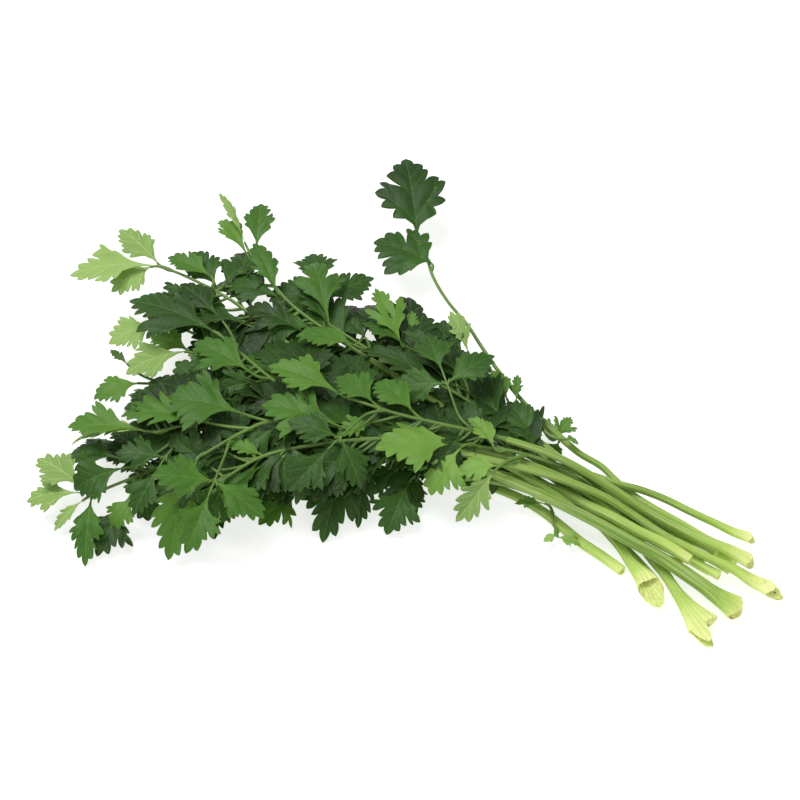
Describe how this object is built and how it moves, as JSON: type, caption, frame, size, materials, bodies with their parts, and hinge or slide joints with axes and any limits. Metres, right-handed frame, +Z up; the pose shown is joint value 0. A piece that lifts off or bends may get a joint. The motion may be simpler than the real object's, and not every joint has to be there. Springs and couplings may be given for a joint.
{
  "type": "bunch of parsley",
  "caption": "Loose bunch of flat-leaf parsley lying on its side, leafy stems fanned at one end and pale cut bases gathered at the other.",
  "frame": {"origin": "centre of the bunch's outline seen from above, on the surface it lies on", "axes": "+X along the stems towards the cut bases, +Z up from the surface, +Y across the bunch"},
  "size_m": [0.3346, 0.2551, 0.0413],
  "materials": {
    "stalk": "smooth fresh stem, yellow-green, paler to nearly white at the clasping base",
    "leaf": "soft satin leaf, deep green above and paler grey-green below"
  },
  "bodies": {
    "root": {"leaves_01": "leaf", "leaves_02": "leaf", "leaves_03": "leaf", "leaves_04": "leaf", "leaves_05": "leaf", "leaves_06": "leaf", "leaves_07": "leaf", "leaves_08": "leaf", "leaves_09": "leaf", "leaves_10": "leaf", "leaves_11": "leaf", "leaves_12": "leaf", "leaves_13": "leaf", "leaves_14": "leaf", "leaves_15": "leaf", "leaves_16": "leaf", "leaves_17": "leaf", "leaves_18": "leaf", "leaves_19": "leaf", "stalk_01": "stalk", "stalk_02": "stalk", "stalk_03": "stalk", "stalk_04": "stalk", "stalk_05": "stalk", "stalk_06": "stalk", "stalk_07": "stalk", "stalk_08": "stalk", "stalk_09": "stalk", "stalk_10": "stalk", "stalk_11": "stalk", "stalk_12": "stalk", "stalk_13": "stalk", "stalk_14": "stalk", "stalk_15": "stalk", "stalk_16": "stalk", "stalk_17": "stalk", "stalk_18": "stalk"}
  },
  "joints": []
}
